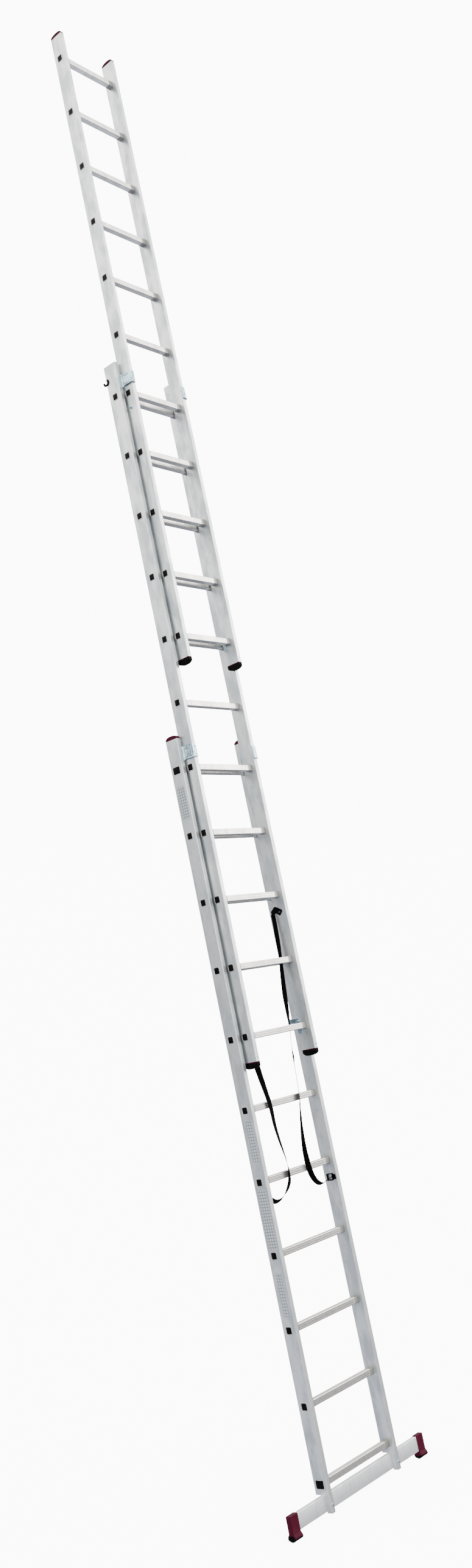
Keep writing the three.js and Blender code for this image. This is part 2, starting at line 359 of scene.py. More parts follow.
dull = add(tree, "Mix", {0: swage, 2: smooth_rough, 3: SWAGE_ROUGHNESS}, data_type="FLOAT")
tree.links.new(dull.outputs[0], shader.inputs["Roughness"])

# %% [markdown]
# Bright zinc plating on pressed steel sheet is bluish, and its thin passivated
# coat varies in cloudy patches one or two centimetres across. It is shinier than
# the mill aluminium beside it.

# %% Zinc-plated steel
# noise scales of 60 and 700 a metre give patches of 17 mm and grain of 1.4 mm
ZINC_PATCHES, ZINC_GRAIN = 60.0, 700.0


def zinc_plating(name, roughness):
    """Zinc plate with a cloudy blue tone and a slightly uneven gloss."""
    material, tree, shader = new_material(name, Metallic=0.95)
    place = add(tree, "TexCoord").outputs["Object"]
    clouds = add(tree, "TexNoise", {"Vector": place, "Scale": ZINC_PATCHES, "Detail": 4.0})
    grain = add(tree, "TexNoise", {"Vector": place, "Scale": ZINC_GRAIN, "Detail": 2.0})
    tone = span(tree, clouds.outputs[0], 0.35, 0.65, 0.0, 1.0)
    colour = blend_colours(tree, tone, linear("#7f9fad"), linear("#c6d9e1"))
    tree.links.new(colour, shader.inputs["Base Color"])
    rough = span(tree, clouds.outputs[0], 0.3, 0.7, roughness - 0.06, roughness + 0.08)
    tree.links.new(rough, shader.inputs["Roughness"])
    bump = add(tree, "Bump", {"Height": grain.outputs[0], "Strength": 0.4, "Distance": 0.00008})
    tree.links.new(bump.outputs[0], shader.inputs["Normal"])
    return material


zinc = zinc_plating("zinc_plated_steel", 0.2)

# %% [markdown]
# The caps, feet and plugs are injection moulded. Polypropylene caps have a
# fine spark-eroded grain and a soft sheen; rubber soles are duller and pick up
# grey dust. The real grain is about 0.2 mm and is drawn at 1 mm to show.

# %% Moulded plastic and rubber
WORN_PATCHES = 45.0


def moulded(name, base, worn, roughness, grain_mm, depth, wear, gloss=0.2):
    """A moulded surface with an even grain, and worn patches of a second colour."""
    material, tree, shader = new_material(name, IOR=1.5, Specular_IOR_Level=gloss)
    place = add(tree, "TexCoord").outputs["Object"]
    grain_scale = 1000 / grain_mm
    grain = add(tree, "TexNoise", {"Vector": place, "Scale": grain_scale, "Detail": 2.0})
    patches = add(tree, "TexNoise", {"Vector": place, "Scale": WORN_PATCHES, "Detail": 4.0})
    worn_part = span(tree, patches.outputs[0], 0.48, 0.75, 0.0, wear)
    colour = blend_colours(tree, worn_part, linear(base), linear(worn))
    tree.links.new(colour, shader.inputs["Base Color"])
    rough = span(tree, patches.outputs[0], 0.3, 0.7, roughness - 0.05, roughness + 0.08)
    tree.links.new(rough, shader.inputs["Roughness"])
    bump = add(tree, "Bump", {"Height": grain.outputs[0], "Strength": 0.5, "Distance": depth})
    tree.links.new(bump.outputs[0], shader.inputs["Normal"])
    return material


burgundy = moulded(
    "polypropylene_burgundy", "#3b0d1d", "#471427", 0.48, 1.0, 0.00015, 0.7, gloss=0.03)
brown_plug = moulded(
    "polypropylene_dark_brown", "#1d0f0e", "#2b1a18", 0.5, 1.0, 0.0001, 0.5, gloss=0.08)
black_plastic = moulded(
    "polypropylene_black", "#020203", "#0a0a0b", 0.36, 1.0, 0.0001, 0.6, gloss=0.06)
rubber = moulded(
    "natural_rubber_black", "#030303", "#0e0e0e", 0.68, 1.2, 0.0002, 0.8, gloss=0.05)

# %% [markdown]
# The restraint straps are woven polyester webbing: yarns cross the strap every
# millimetre or so, and the light catches them as small ridges. The pattern
# follows two attributes, the distance along and across the strap in
# millimetres, so that it bends and twists with it. Picks are drawn at 2.4 mm.

# %% Webbing
webbing, tree, shader = new_material("polyester_webbing_black", Roughness=0.85, IOR=1.5)
shader.inputs["Specular IOR Level"].default_value = 0.03
PICK_MM, YARN_MM = 2.4, 1.6
along = add(tree, "Attribute", attribute_name="along").outputs["Fac"]
across = add(tree, "Attribute", attribute_name="across").outputs["Fac"]
weft_turn = add(tree, "Math", {0: along, 1: 2 * math.pi / PICK_MM}, operation="MULTIPLY")
warp_turn = add(tree, "Math", {0: across, 1: 2 * math.pi / YARN_MM}, operation="MULTIPLY")
weft = add(tree, "Math", {0: weft_turn.outputs[0]}, operation="SINE")
warp = add(tree, "Math", {0: warp_turn.outputs[0]}, operation="COSINE")
weave = add(tree, "Math", {0: weft.outputs[0], 1: warp.outputs[0]}, operation="MULTIPLY").outputs[0]
yarn_tone = span(tree, weave, -1.0, 1.0, 0.0, 1.0)
colour = blend_colours(tree, yarn_tone, linear("#020202"), linear("#070708"))
tree.links.new(colour, shader.inputs["Base Color"])
bump = add(tree, "Bump", {"Height": weave, "Strength": 0.6, "Distance": 0.0003})
tree.links.new(bump.outputs[0], shader.inputs["Normal"])

# %% [markdown]
# The camera stands to the climber's left and in front of the ladder, level
# with its middle, with a wide lens that takes in all six metres.

# %% Camera
CAMERA_PLACE = Vector((-4.308, -3.892, 2.705))
CAMERA_AZIMUTH, CAMERA_ELEVATION, CAMERA_ROLL = np.radians((-49.03, -0.65, -0.3)).tolist()
FOCAL_SHARE = 2228.3 / 2576
SENSOR_MM = 36.0

camera_data = bpy.data.cameras.new("camera")
camera_data.sensor_width = SENSOR_MM
camera_data.sensor_height = SENSOR_MM
camera_data.sensor_fit = "AUTO"
camera_data.lens = SENSOR_MM * FOCAL_SHARE
camera_data.clip_end = 200
back = Vector((
    math.sin(CAMERA_AZIMUTH) * math.cos(CAMERA_ELEVATION),
    -math.cos(CAMERA_AZIMUTH) * math.cos(CAMERA_ELEVATION),
    math.sin(CAMERA_ELEVATION),
))
right = Vector((0, 0, 1)).cross(back).normalized()
up = back.cross(right)
level = Matrix((right, up, back)).transposed()
turned = level @ Matrix.Rotation(CAMERA_ROLL, 3, "Z")
camera = bpy.data.objects.new("camera", camera_data)
camera.matrix_world = Matrix.Translation(CAMERA_PLACE) @ turned.to_4x4()
bpy.context.scene.collection.objects.link(camera)
bpy.context.scene.camera = camera
print("focal length", round(camera_data.lens, 2), "mm")

# %% [markdown]
# Two webbing straps keep the middle section from being pulled out too far.
# Each leaves a loop on a lower stile, hangs in a bend and rises in front of the
# lower rungs to a tab inside the middle section. The strap's line is a smooth
# curve through the route's points, and its flat face turns on the way up: the
# angle is that of the strap's width, in the plane of x and y.

# %% Strap routes
STRAP_WIDTH, STRAP_THICKNESS, STRAP_DISH = 25.0, 1.8, 0.8
STRAP_ROUTES = {
    "right": [
        (206.4, 30, 1051), (190, 30.5, 1048), (166, 31, 1041), (142, 29, 1038), (118, 25, 1044),
        (92, 19, 1060), (70, 13, 1084), (58, 10, 1114), (53, 9, 1148), (53, 10, 1190), (60, 12, 1240),
        (70, 13, 1295), (82, 13, 1350), (93, 12, 1405), (101, 14, 1465), (107, 15, 1540),
        (114, 14, 1615),
        (121, 12, 1682), (129, 13, 1750), (137, 15, 1820), (145, 14, 1890), (153, 12, 1960),
        (158, 11, 2020), (162, 11, 2080), (164, 11, 2125), (165, 12, 2158),
    ],
    "left": [
        (-206.4, 30, 1051), (-190, 30.5, 1047), (-166, 31, 1033), (-140, 29, 1031), (-114, 24, 1042),
        (-92, 18, 1063), (-76, 13, 1090), (-68, 11, 1130), (-70, 10, 1170), (-78, 11, 1215),
        (-87, 12, 1262), (-94, 13, 1318), (-98, 12, 1395), (-108, 14, 1460), (-120, 15, 1520),
        (-130, 15, 1575), (-138, 14, 1625), (-144, 12, 1682), (-150, 13, 1750), (-156, 15, 1820),
        (-161, 14, 1890), (-165, 12, 1960), (-167, 11, 2020), (-167, 11, 2080), (-166, 11, 2125),
        (-165, 12, 2158),
    ],
}
# (route position counted in points, the width's angle from x towards y, its rise)
STRAP_TURNS = {
    "right": [
        (0, 90, -22), (3, 92, -22), (5, 105, -12), (6, 114, 0), (8, 107, 0), (9, 90, 0),
        (10, 75, 0), (11, 61, 0), (12, 50, 0), (13, 43, 0), (14.9, 41, 0), (15.3, 58, 0),
        (15.7, 42, 0), (16, 40, 0), (17, 36, 0), (18, 5, 0), (19, -14, 0), (20, -6, 0),
        (21.2, 6, 0), (22.5, -8, 0), (25, -8, 0),
    ],
    "left": [
        (0, 90, -40), (4, 90, -40), (5, 88, -28), (6, 72, -8), (7.2, 52, 0), (8, 36, 0),
        (9, 28, 0), (10, 20, 0), (11, 11, 0), (12, 0, 0), (13, -8, 0), (14, -23, 0),
        (15, -46, 0), (25, -48, 0),
    ],
}


def smooth_curve(points, steps):
    """Catmull-Rom curve through points, spaced by the root of their distance."""
    points = np.asarray(points, float)
    before, after = 2 * points[0] - points[1], 2 * points[-1] - points[-2]
    knots = np.concatenate([[before], points, [after]])
    gaps = np.linalg.norm(np.diff(knots, axis=0), axis=1) ** 0.5
    places, rows = [], []
    for k in range(len(points) - 1):
        p0, p1, p2, p3 = knots[k:k + 4]
        g0, g1, g2 = gaps[k:k + 3]
        leave = (p1 - p0) / g0 - (p2 - p0) / (g0 + g1) + (p2 - p1) / g1
        arrive = (p2 - p1) / g1 - (p3 - p1) / (g1 + g2) + (p3 - p2) / g2
        leave, arrive = leave * g1, arrive * g1
        t = np.linspace(0, 1, steps, endpoint=k == len(points) - 2)[:, None]
        rows.append(
            (2 * t**3 - 3 * t**2 + 1) * p1 + (t**3 - 2 * t**2 + t) * leave
            + (3 * t**2 - 2 * t**3) * p2 + (t**3 - t**2) * arrive
        )
        places.append(k + t[:, 0])
    return np.concatenate(rows), np.concatenate(places)


def webbing_strap(line, angles, rises):
    """A flat strip carried along a line.

    The width lies along (cos angle cos rise, sin angle cos rise, sin rise) with
    its part along the line taken away, and the section is a superellipse, thin
    and nearly square-edged.
    """
    tangent = np.gradient(line, axis=0)
    tangent /= np.linalg.norm(tangent, axis=1, keepdims=True)
    level = np.cos(rises)
    width = np.stack([np.cos(angles) * level, np.sin(angles) * level, np.sin(rises)], -1)
    width -= tangent * (width * tangent).sum(1, keepdims=True)
    width /= np.linalg.norm(width, axis=1, keepdims=True)
    thick = np.cross(tangent, width)
    turn = np.linspace(0, 2 * math.pi, 28, endpoint=False)
    u = np.sign(np.cos(turn)) * np.abs(np.cos(turn)) ** 0.55 * STRAP_WIDTH / 2
    v = np.sign(np.sin(turn)) * np.abs(np.sin(turn)) ** 0.8 * STRAP_THICKNESS / 2
    # the strap is slightly dished across its width, as folded webbing is
    dish = STRAP_DISH * (1 - (2 * u / STRAP_WIDTH) ** 2)
    grid = line[:, None] + width[:, None] * u[None, :, None]
    grid = grid + thick[:, None] * (v + dish)[None, :, None]
    steps = np.linalg.norm(np.diff(line, axis=0), axis=1)
    run = np.concatenate([[0], np.cumsum(steps)])
    along_mm = np.repeat(run[:, None], len(turn), 1)
    across_mm = np.repeat(u[None, :], len(line), 0)
    return solid(grid), along_mm, across_mm, run[-1]


# %% Straps
for side, route in STRAP_ROUTES.items():
    line, place = smooth_curve(route, 10)
    positions, *turns = zip(*STRAP_TURNS[side])
    kernel = np.hanning(9) / np.hanning(9).sum()
    eased = [np.pad(np.interp(place, positions, values), 4, mode="edge") for values in turns]
    angles, rises = (np.radians(np.convolve(values, kernel, mode="valid")) for values in eased)
    body, along_mm, across_mm, length = webbing_strap(line, angles, rises)
    strap = make(f"restraint_strap_{side}", body, webbing, None, "strap_webbing", angle=50,
                 replaces=[f"strap_{side}"], along=along_mm, across=across_mm)
    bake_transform(strap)
    print("strap", side, "is", round(length), "mm long")

# %% [markdown]
# Each stile is a hollow extrusion with rounded corners. Its surface is one
# loop of rings: up the outside, over the top, down the inside and back. The
# lower stiles end in front of the stabiliser bar as a short open channel,
# because their rear part is cut away to seat the bar. Where a sliding stile
# runs beside the one behind it, its outer web is painted darker: a painted
# shade for the gap between the two stiles, and a mesh attribute holds how much.

# %% Stiles
WALL, CORNER, WEB_STEPS = 2.0, 1.7, 14
# the painted shade beside the stile behind: its fade forward and upward in millimetres, and its full
# share
GAP_SHADE_FADE, GAP_SHADE_FADE_UP, GAP_SHADE_SHARE = 14, 120, 0.75
# how far up a sliding stile the one behind it reaches when fully extended
OVERLAP_END = LAST_RUNG + SECTIONS["lower"]["above"] - SECTIONS["middle"]["base"]
BAR_SEAT_TOP, BAR_SEAT_FRONT = -37.7, 23.7


def stile_tube(section, bottom):
    """A hollow rounded rectangle carried along s, its rims slightly eased."""
    half, depth = section["half"], section["depth"]
    top = LAST_RUNG + section["above"]
    outer = rounded_rectangle(STILE, depth, CORNER, 4, WEB_STEPS)
    eased = rounded_rectangle(STILE - 0.8, depth - 0.8, CORNER - 0.3, 4, WEB_STEPS)
    inner = rounded_rectangle(STILE - 2 * WALL, depth - 2 * WALL, 0.6, 4, WEB_STEPS)
    levels = [(outer, bottom + 0.4), (outer, OVERLAP_END - GAP_SHADE_FADE_UP), (outer, OVERLAP_END),
              (outer, top - 0.4), (eased, top), (inner, top), (inner, bottom), (eased, bottom)]
    rings = []
    for loop, level in levels:
        x = half - STILE / 2 + loop[:, 0]
        y = section["front"] + depth / 2 + loop[:, 1]
        rings.append(points_at(x, y, section["base"] + level))
    return solid(np.stack(rings), ends="ring")


def rub_band(section, points):
    """GAP_SHADE_SHARE of painted shade where the outer web slides beside the stile behind it.

    Forward of that stile it falls as (1 - distance / GAP_SHADE_FADE) ** 1.5.
    """
    meets = section["front"] + SECTIONS["lower"]["front"] - SECTIONS["middle"]["front"]
    outside = points[:, 0] > section["half"] - CORNER
    beside = points[:, 2] < section["base"] + OVERLAP_END - 1
    return GAP_SHADE_SHARE * np.clip(1 + (points[:, 1] - meets) / GAP_SHADE_FADE, 0, 1) ** 1.5 * outside * beside


def front_channel(section, bottom, top):
    """The front flange and two short webs left below the bar's seat."""
    x0, x1 = section["half"] - STILE, section["half"]
    reach = BAR_SEAT_FRONT
    outline = [(x0, reach), (x0, CORNER), (x0 + 0.5, 0.5), (x0 + CORNER, 0), (x1 - CORNER, 0),
               (x1 - 0.5, 0.5), (x1, CORNER), (x1, reach), (x1 - WALL, reach), (x1 - WALL, WALL),
               (x0 + WALL, WALL), (x0 + WALL, reach)]
    return prism(outline, bottom, top)


for name, section in SECTIONS.items():
    if name == "lower":
        tube = stile_tube(section, BAR_SEAT_TOP)
        tube = joined([tube, front_channel(section, section["below"], BAR_SEAT_TOP + 0.4)])
    else:
        tube = stile_tube(section, section["below"])
    # painted shade on the sliding sections' outer webs, where they run beside the stile behind
    rub = rub_band(section, tube[0]) * (name != "lower")
    for side, sign in SIDES.items():
        make(f"{name}_stile_tube_{side}", mirrored(tube, sign), stile_metal, f"{name}_section",
             "stile_aluminium", replaces=[f"{name}_stile_{side}"], rub=rub)
print("stiles made for", list(SECTIONS))

# %% [markdown]
# A rung is a square tube whose tread has fine ribs and whose front and back
# each carry two grooves. Beside each stile it is swaged out to a plain collar.
# So the section is a rounded square, pushed in by the ribs and grooves, and
# the collar's swelling hides them again.

# %% Rungs
RUNG, RUNG_CORNER = 26, 2.6
RIB_PITCH, RIB_DEPTH = 3.1, 0.35
GROOVE_PLACE, GROOVE_WIDTH, GROOVE_DEPTH = 4.6, 2.6, 0.25
COLLAR, COLLAR_PROUD = 25, 0.9


def rung_surface(section, number):
    """Rings along x; each is the ribbed square, swollen by the collar's share.

    Ribs: depth times (1 + cos(2 pi y / pitch)) / 2 on the top and underside.
    Grooves: depth times a raised cosine about each groove's place, front and back.
    """
    loop = rounded_rectangle(RUNG, RUNG, RUNG_CORNER, 4, 18)
    flat = RUNG / 2 - RUNG_CORNER
    edge_y = np.abs(loop[:, 0]) > RUNG / 2 - 0.01
    edge_s = np.abs(loop[:, 1]) > RUNG / 2 - 0.01
    ribs = RIB_DEPTH * (1 + np.cos(2 * math.pi * loop[:, 0] / RIB_PITCH)) / 2
    ribs *= np.clip((flat - np.abs(loop[:, 0])) / 1.5, 0, 1)
    away = np.clip(np.abs(np.abs(loop[:, 1]) - GROOVE_PLACE) / (GROOVE_WIDTH / 2), 0, 1)
    grooves = GROOVE_DEPTH * (1 + np.cos(math.pi * away)) / 2
    press = np.where(edge_s, ribs, 0) + np.where(edge_y, grooves, 0)
    normal = np.where(edge_s[:, None], np.sign(loop) * [0, 1], 0)
    normal = np.where(edge_y[:, None], np.sign(loop) * [1, 0], normal)
    outward = loop / np.linalg.norm(loop, axis=1, keepdims=True)
    web = section["half"] - STILE
    end = section["half"] - 1.2
    start = web - COLLAR
    marks = [start - 4, start - 1.5, start + 0.5, web - 3, web - 1, web + 0.6, end]
    swell = [0, 0.15, 1, 1, 1.9, 1.9, 0]
    places = np.array([-m for m in marks[::-1]] + marks)
    swells = np.array(swell[::-1] + swell, float)
    rings, swage = [], []
    for x, share in zip(places, swells):
        smooth = min(share, 1)
        shape = loop - normal * press[:, None] * (1 - smooth)
        shape = shape + outward * COLLAR_PROUD * share * (0.4 if abs(x) > web else 1)
        level = section["base"] + (number - 1) * PITCH
        y = section["front"] + RUNG_DEPTH + shape[:, 0]
        rings.append(points_at(x, y, level + shape[:, 1]))
        swage.append(np.full(len(loop), smooth))
    return solid(np.stack(rings)), np.stack(swage)


for name, section in SECTIONS.items():
    for number in range(1, RUNGS + 1):
        body, swage = rung_surface(section, number)
        make(f"{name}_rung_tube_{number:02d}", body, rung_metal, f"{name}_section", "rung_aluminium",
             replaces=[f"{name}_rung_{number:02d}"], swage=swage)
print("rungs made:", RUNGS * len(SECTIONS))

# %% [markdown]
# On the outer web each rung's end is flared into a bead, and a black plug
# closes the hole inside it. The lowest and highest rungs of the lower section
# have larger square plugs. The bead is a small half round carried round a
# rounded square; the plug is a stack of shrinking loops with a dished middle.

# %% Rung ends


def bead_ring(centre, x, width, height, radius, thickness):
    """A round section of a thickness carried round a rounded square."""
    loop = rounded_rectangle(width, height, radius, 5)
    outward = loop / np.linalg.norm(loop, axis=1, keepdims=True)
    turn = np.linspace(0, 2 * math.pi, 8, endpoint=False)
    spread = thickness * np.cos(turn)
    rise = thickness * 0.8 * np.sin(turn)
    ring = loop[None] + outward[None] * spread[:, None, None]
    grid = points_at((x + rise)[:, None], centre[0] + ring[..., 0], centre[1] + ring[..., 1])
    return solid(grid, ends="ring")


def plug_dome(centre, x, width, height, radius, levels):
    """Loops scaled down towards the middle; levels is (scale, height) pairs."""
    loop = rounded_rectangle(width, height, radius, 5)
    rings = []
    for scale, rise in levels:
        ring = loop * scale
        rings.append(points_at(x + rise, centre[0] + ring[:, 0], centre[1] + ring[:, 1]))
    return solid(np.stack(rings))


SMALL_PLUG = [(1, -1.5), (1, 0.3), (0.96, 0.6), (0.5, 0.62)]
LARGE_PLUG = [(1, -1), (1, 1.6), (0.96, 2.6), (0.9, 3.0), (0.5, 3.1)]
LARGE_ENDS = {"lower": (1, RUNGS)}
# each width, height and corner radius, and last the bead's thickness
BEAD_SIZE, BEAD_DULL = (27.6, 28.2, 5.2, 1.6), 0.55
PLUG_SIZE, LARGE_PLUG_SIZE = (25.6, 26.2, 4.6), (35, 30, 4)
for name, section in SECTIONS.items():
    beads, plugs = [], []
    web = section["half"]
    for number in range(1, RUNGS + 1):
        centre = (section["front"] + RUNG_DEPTH, section["base"] + (number - 1) * PITCH)
        beads.append(bead_ring(centre, web + 0.2, *BEAD_SIZE))
        if number in LARGE_ENDS.get(name, ()):
            plugs.append(plug_dome(centre, web, *LARGE_PLUG_SIZE, LARGE_PLUG))
        else:
            plugs.append(plug_dome(centre, web, *PLUG_SIZE, SMALL_PLUG))
    for side, sign in SIDES.items():
        body = mirrored(joined(beads), sign)
        make(f"{name}_rung_beads_{side}", body, rung_metal, f"{name}_section",
             "rung_aluminium", angle=60, swage=np.full(len(body[0]), BEAD_DULL))
        make(f"{name}_rung_plugs_{side}", mirrored(joined(plugs), sign), black_plastic,
             f"{name}_section", "black_rubber", angle=40)

# %% [markdown]
# Caps and feet close the ends of the stiles. Both are a block whose end is an
# arc over the depth of the stile: loops of the stile's outline, whose height
# follows the arc, shrink towards the middle to close it. The feet of the two
# sliding sections are rubber with a thin coloured rim above.

# %% Caps and feet
# each end's straight edge and the height of its arch
FOOT_ARCH, TOP_CAP_ARCH, LOWER_CAP_ARCH = (7, 16.5), (3.4, 13.6), (2.4, 14.5)
FOOT_PROUD, RIM_HIGH, RIM_PROUD = 1.5, 3.4, 0.4


def arched_end(section, level, width, depth, edge, arch, direction, roundness=2.3):
    """A block from a level of s, ending in an arch.

    Height at depth y: edge + arch (1 - |2 (y - middle) / depth| ** roundness)
    ** (1 / roundness), upwards or downwards by direction.
    """
    loop = rounded_rectangle(width, depth, 2.2, 4, 8)
    middle_x = section["half"] - STILE / 2
    middle_y = section["front"] + section["depth"] / 2

    def height(y, share):
        part = np.clip(np.abs(2 * y / depth), 0, 1) ** roundness
        return edge + arch * (1 - part) ** (1 / roundness) * share

    rings = [(loop, np.zeros(len(loop))), (loop, height(loop[:, 1], 0.93) - 0.8)]
    for scale in (0.97, 0.9, 0.75, 0.55, 0.3, 0.08):
        shrunk = loop * [scale, 1 - (1 - scale) ** 2 * 0.96]
        first = scale == 0.97
        rings.append((shrunk, height(shrunk[:, 1], 1 - 0.07 * first) - 1.0 * first))
    grid = []
    for ring, rise in rings:
        s = section["base"] + level + direction * rise
        grid.append(np.stack([middle_x + ring[:, 0], middle_y + ring[:, 1], s], -1))
    return solid(np.stack(grid))


def rim_band(section, level, height, proud):
    """A thin band of the stile's outline, a little proud of it."""
    loop = rounded_rectangle(STILE + 2 * proud, section["depth"] + 2 * proud, 2.4, 4)
    x = section["half"] - STILE / 2 + loop[:, 0]
    y = section["front"] + section["depth"] / 2 + loop[:, 1]
    rows = [points_at(x, y, section["base"] + level + rise) for rise in (0, height)]
    return solid(np.stack(rows))


TOP, MIDDLE, LOWER = SECTIONS["top"], SECTIONS["middle"], SECTIONS["lower"]
for side, sign in SIDES.items():
    for name in ("middle", "top"):
        section = SECTIONS[name]
        level = section["below"] - 3.2
        width, depth = STILE + FOOT_PROUD, section["depth"] + FOOT_PROUD
        foot = arched_end(section, level, width, depth, *FOOT_ARCH, -1)
        make(f"{name}_rubber_foot_{side}", mirrored(foot, sign), rubber, f"{name}_section",
             "black_rubber", replaces=[f"{name}_foot_{side}"])
        rim = rim_band(section, section["below"] - RIM_HIGH, RIM_HIGH, RIM_PROUD)
        softened(make(f"{name}_foot_rim_{side}", mirrored(rim, sign), burgundy, f"{name}_section",
                      "burgundy_plastic"), 0.5)
    cap = arched_end(TOP, LAST_RUNG + TOP["above"], STILE, TOP["depth"], *TOP_CAP_ARCH, 1)
    make(f"top_end_cap_{side}", mirrored(cap, sign), burgundy, "top_section", "burgundy_plastic",
         replaces=[f"top_cap_{side}"])
    level = LAST_RUNG + LOWER["above"]
    cap = arched_end(LOWER, level, STILE, LOWER["depth"], *LOWER_CAP_ARCH, 1)
    make(f"lower_end_cap_{side}", mirrored(cap, sign), burgundy, "lower_section", "burgundy_plastic")
    lid = rim_band(MIDDLE, LAST_RUNG + MIDDLE["above"] - 0.2, 1.8, -0.3)
    softened(make(f"middle_end_plug_{side}", mirrored(lid, sign), brown_plug, "middle_section",
                  "burgundy_plastic"), 0.6)

# %% [markdown]
# The guide brackets are pressed from one strip of zinc-plated sheet: riveted
# inside one stile, bent forward beside the next section's stile and round its
# front. Their line in plan is a polyline with its corners averaged into bends.
# Two raised frames stiffen them and the lower edge flares out as a lead-in.

# %% Guide brackets
SHEET = 2.3
# the bracket's foot above the last rung, its height and its reach into the stile
GUIDE_ABOVE, GUIDE_HIGH, GUIDE_DEEP = 36, 58, 44
# the play left beside and in front of the stile that slides in it
SIDE_PLAY, FRONT_PLAY = 4.4, 3.4
FRAME_LIFT, FRAME_EDGE = 2.1, 9
FLARE_HIGH, FLARE_OUT = 7, 3.2


def bent_line(corners, spacing=1.2, reach=5):
    """A polyline sampled evenly, then averaged over its neighbours to round it."""
    corners = np.asarray(corners, float)
    lengths = np.linalg.norm(np.diff(corners, axis=0), axis=1)
    run = np.concatenate([[0], np.cumsum(lengths)])
    places = np.arange(0, run[-1], spacing)
    line = np.stack([np.interp(places, run, corners[:, k]) for k in (0, 1)], -1)
    padded = np.pad(line, ((reach // 2, reach // 2), (0, 0)), mode="edge")
    kernel = np.ones(reach) / reach
    return np.stack([np.convolve(padded[:, k], kernel, mode="valid") for k in (0, 1)], -1)


def raised_frame(u, v, low_u, high_u, low_v, high_v, rim):
    """1 on a rectangle's raised rim, 0 outside it and 0.2 on its inner panel."""
    inside = np.minimum(np.minimum(u - low_u, high_u - u), np.minimum(v - low_v, high_v - v))
    rise = np.clip(inside / 1.5, 0, 1)
    fall = np.clip((inside - rim) / 1.5, 0, 1)
    return rise - 0.8 * fall


def guide_surface(section, following):
    """The sheet's outer face, swept along s, with its thickness inside it."""
    step = following["front"] - section["front"]
    base_x = section["half"] - STILE - 0.4
    arm_x = following["half"] + SIDE_PLAY
    lip_y = step - FRONT_PLAY
    lip_end = following["half"] - STILE - 0.5
    plan = bent_line([(base_x, GUIDE_DEEP), (base_x, 2.5), (arm_x, -3.5), (arm_x, lip_y),
                      (lip_end, lip_y)])
    tangent = np.gradient(plan, axis=0)
    tangent /= np.linalg.norm(tangent, axis=1, keepdims=True)
    # the sheet runs forward then inwards, so outwards is to the line's left
    outward = np.stack([-tangent[:, 1], tangent[:, 0]], -1)
    heights = np.linspace(0, GUIDE_HIGH, 40)
    u = plan[:, 0][None], plan[:, 1][None]
    v = heights[:, None]
    web_part = (plan[:, 0] > arm_x - 1.2) & (plan[:, 1] < -8)
    lip_part = plan[:, 1] < lip_y + 1.0
    low_v, high_v = FRAME_EDGE, GUIDE_HIGH - FRAME_EDGE
    frames = raised_frame(-u[1], v, 10, -lip_y - 9, low_v, high_v, 4) * web_part
    lip_frame = raised_frame(-u[0], v, -(arm_x - 7), -(lip_end + 3), low_v, high_v, 3)
    frames = frames + lip_frame * lip_part
    flare = np.clip((FLARE_HIGH - v) / FLARE_HIGH, 0, 1) ** 1.6 * FLARE_OUT
    flare = flare * np.clip((-u[1] - 6) / 10, 0, 1)
    lift = FRAME_LIFT * np.clip(frames, 0, 1) + flare
    face = plan[None] + outward[None] * lift[..., None]
    level = section["base"] + LAST_RUNG + GUIDE_ABOVE + np.repeat(v, len(plan), 1)
    y = section["front"] + face[..., 1]
    outer = np.stack([face[..., 0], y, level], -1)
    inner = outer - np.concatenate([outward, np.zeros((len(plan), 1))], 1)[None] * SHEET
    rows, columns = outer.shape[:2]
    shell = np.stack([outer, inner[:, ::-1]], 1).reshape(rows, 2 * columns, 3)
    return solid(shell)


for name, following in (("lower", "middle"), ("middle", "top")):
    body = guide_surface(SECTIONS[name], SECTIONS[following])
    for side, sign in SIDES.items():
        make(f"{name}_guide_bracket_{side}", mirrored(body, sign), zinc, f"{name}_section",
             "zinc_plate", angle=40, replaces=[f"{name}_guide_{side}"])

# %% [markdown]
# The hook catches are thick punched plates screwed inside the stiles of the
# sliding sections. An arm reaches back over a rung of the section behind and
# its tip turns down. A straight prism of the punched outline has its sharp
# edges rounded by a bevel, as tumbling does.

# %% Hook catches
HOOK_START, HOOK_PLATE = 48.5, 3.0
for name in ("middle", "top"):
    section = SECTIONS[name]
    end, rest = section["depth"] - 0.5, RUNG / 2 + 1.0
    outline = [(HOOK_START, -33), (end - 6, -33), (end, -27), (end, rest), (100.2, rest),
               (99.8, -1.5), (104, -2), (107, 1), (107, 28), (101, 34), (HOOK_START, 34)]
    outline = np.array(outline) + [section["front"], section["base"]]
    outer = section["half"] - STILE - 0.3
    body = prism(outline, outer - HOOK_PLATE, outer, across="x")
    for side, sign in SIDES.items():
        piece = make(f"{name}_hook_catch_{side}", mirrored(body, sign), zinc, f"{name}_section",
                     "zinc_plate", replaces=[f"{name}_hook_{side}"])
        softened(piece, 0.7, 3)

# %% [markdown]
# Screws, rivets and bolts are all turned shapes: a head's profile of radius
# against height, spun about an axis. One function places them on any face.

# %% Fasteners


def turned_head(place, axis, profile, sides=20):
    """A profile of (radius, height) spun about an axis of +1 or -1 along x or y."""
    turn = np.linspace(0, 2 * math.pi, sides, endpoint=False)
    rings = []
    for radius, rise in profile:
        p, q, r = radius * np.cos(turn), radius * np.sin(turn), np.full(sides, float(rise))
        parts = {"x": (r, p, q), "-x": (-r, p, q), "y": (p, r, q), "-y": (p, -r, q)}[axis]
        rings.append(np.stack(parts, -1))
    return solid(np.stack(rings) + np.asarray(place, float))


